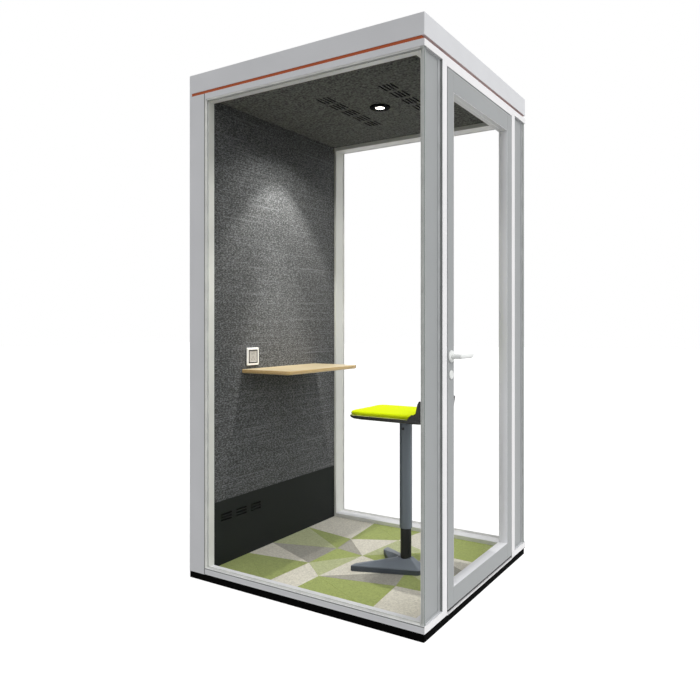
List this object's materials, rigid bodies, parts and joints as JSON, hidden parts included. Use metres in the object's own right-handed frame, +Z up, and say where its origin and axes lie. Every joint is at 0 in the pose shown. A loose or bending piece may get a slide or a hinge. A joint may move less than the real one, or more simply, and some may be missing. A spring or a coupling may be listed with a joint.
{
  "type": "acoustic office pod",
  "caption": "Free-standing acoustic pod with a fabric desk wall, glazed sides, a pivot door, a vented ceiling with fan and light, a wall desk, a socket and a perch stool.",
  "frame": {"origin": "on the floor, under the middle of the pod's outline, at the plinth's underside", "axes": "+X out of the door, +Y from the front pane to the back pane, +Z up"},
  "size_m": [1.2505, 1.15, 2.3],
  "materials": {
    "light_frame": "satin light grey powder coat",
    "white_frame": "satin white powder coat",
    "leaf_grey": "satin mid grey powder coat",
    "fascia": "satin light grey powder coat",
    "accent": "matt orange",
    "black_base": "matt black powder coat",
    "black_plastic": "matt",
    "seal": "light grey silicone",
    "wall_fabric": "heathered woven wool mix",
    "kick": "matt dark grey powder coat",
    "ceiling": "charcoal felt on a slotted board",
    "carpet": "low loop pile in greens, cream and grey",
    "deck": "raw plywood",
    "core": "light grey outer skin over an acoustic sandwich",
    "desk_wood": "satin lacquered beech veneer",
    "white_plastic": "satin",
    "lever_white": "satin white powder coat",
    "lens": "opal diffuser",
    "steel": "zinc plated",
    "tube": "satin slate grey powder coat",
    "stool_foot": "satin slate grey powder coat",
    "black_tube": "satin black",
    "seat_shell": "fine grained black",
    "seat_fabric": "lime felt",
    "clear_glass": "clear laminated safety glass"
  },
  "bodies": {
    "pod": {"plinth": "black_base", "levelling_foot_1": "black_plastic", "levelling_foot_2": "black_plastic", "levelling_foot_3": "black_plastic", "levelling_foot_4": "black_plastic", "downlight_bezel": "black_plastic", "fan_housing": "black_plastic", "floor_deck": "deck", "carpet": "carpet", "bottom_rail_front": "light_frame", "bottom_rail_back": "light_frame", "door_sill": "light_frame", "wall_post_front": "light_frame", "wall_post_back": "light_frame", "header_front": "light_frame", "header_back": "light_frame", "header_door": "white_frame", "door_post_latch": "white_frame", "door_post_hinge": "white_frame", "roof_cap": "fascia", "accent_strip": "accent", "ceiling_panel": "ceiling", "downlight_lens": "lens", "wall_core": "core", "wall_fabric_panel": "wall_fabric", "kick_panel": "kick", "strike_plate": "steel", "desk_bracket": "steel", "pivot_pin_bottom": "steel", "pivot_pin_top": "steel", "desk_top": "desk_wood", "socket_plate": "white_plastic", "socket_module": "white_plastic", "front_glass": "clear_glass", "back_glass": "clear_glass", "glazing_seal_front": "seal", "glazing_seal_back": "seal", "side_panel_latch": "leaf_grey", "side_panel_hinge": "leaf_grey", "stool_base": "stool_foot", "stool_inner_tube": "black_tube"},
    "door": {"door_stile_latch": "leaf_grey", "door_stile_hinge": "leaf_grey", "door_rail_top": "leaf_grey", "door_rail_bottom": "leaf_grey", "door_glass": "clear_glass", "lock_case": "steel", "rose_outside": "lever_white", "rose_inside": "lever_white", "key_cylinder": "lever_white"},
    "lever_pair": {"lever_outside": "lever_white", "lever_inside": "lever_white"},
    "spring_latch": {"latch_bolt": "steel"},
    "thumb_knob": {"thumb_turn": "lever_white"},
    "dead_bolt": {"deadbolt": "steel"},
    "rotor": {"fan_rotor": "black_plastic"},
    "stool_column": {"stool_outer_tube": "tube"},
    "stool_seat": {"stool_seat_shell": "seat_shell", "stool_seat_pad": "seat_fabric"},
    "stool_button": {"stool_release_button": "black_plastic"}
  },
  "joints": [
    {"name": "door_swing", "type": "hinge", "parent": "pod", "child": "door", "pos_m": [0.5785, 0.322, 1.1], "axis": [0, 0, 1], "range_deg": [0, 100]},
    {"name": "lever_turn", "type": "hinge", "parent": "door", "child": "lever_pair", "pos_m": [0.5785, -0.342, 1.035], "axis": [-1, 0, 0], "range_deg": [0, 40], "stiffness_Nm_per_rad": 0.8, "springref_deg": -51.57},
    {"name": "latch_slide", "type": "slide", "parent": "door", "child": "spring_latch", "axis": [0, -1, 0], "range_m": [0, 0.012]},
    {"name": "thumb_turn", "type": "hinge", "parent": "door", "child": "thumb_knob", "pos_m": [0.5785, -0.342, 0.963], "axis": [-1, 0, 0], "range_deg": [0, 90]},
    {"name": "deadbolt_slide", "type": "slide", "parent": "door", "child": "dead_bolt", "axis": [0, -1, 0], "range_m": [0, 0.014]},
    {"name": "fan_spin", "type": "hinge", "parent": "pod", "child": "rotor", "pos_m": [-0.07, -0.019, 2.21], "axis": [0, 0, 1], "continuous": true},
    {"name": "seat_height", "type": "slide", "parent": "pod", "child": "stool_column", "axis": [0, 0, 1], "range_m": [-0.12, 0.12]},
    {"name": "seat_swivel", "type": "hinge", "parent": "stool_column", "child": "stool_seat", "pos_m": [0.252, -0.057, 0.73], "axis": [0, 0, 1], "continuous": true},
    {"name": "release_button", "type": "slide", "parent": "stool_column", "child": "stool_button", "axis": [0, 1, 0], "range_m": [0, 0.003], "stiffness_N_per_m": 400, "springref_m": -0.003}
  ],
  "couplings": [
    {"joint": "thumb_turn", "follows": "deadbolt_slide", "rad_per_m": 112.2}
  ]
}
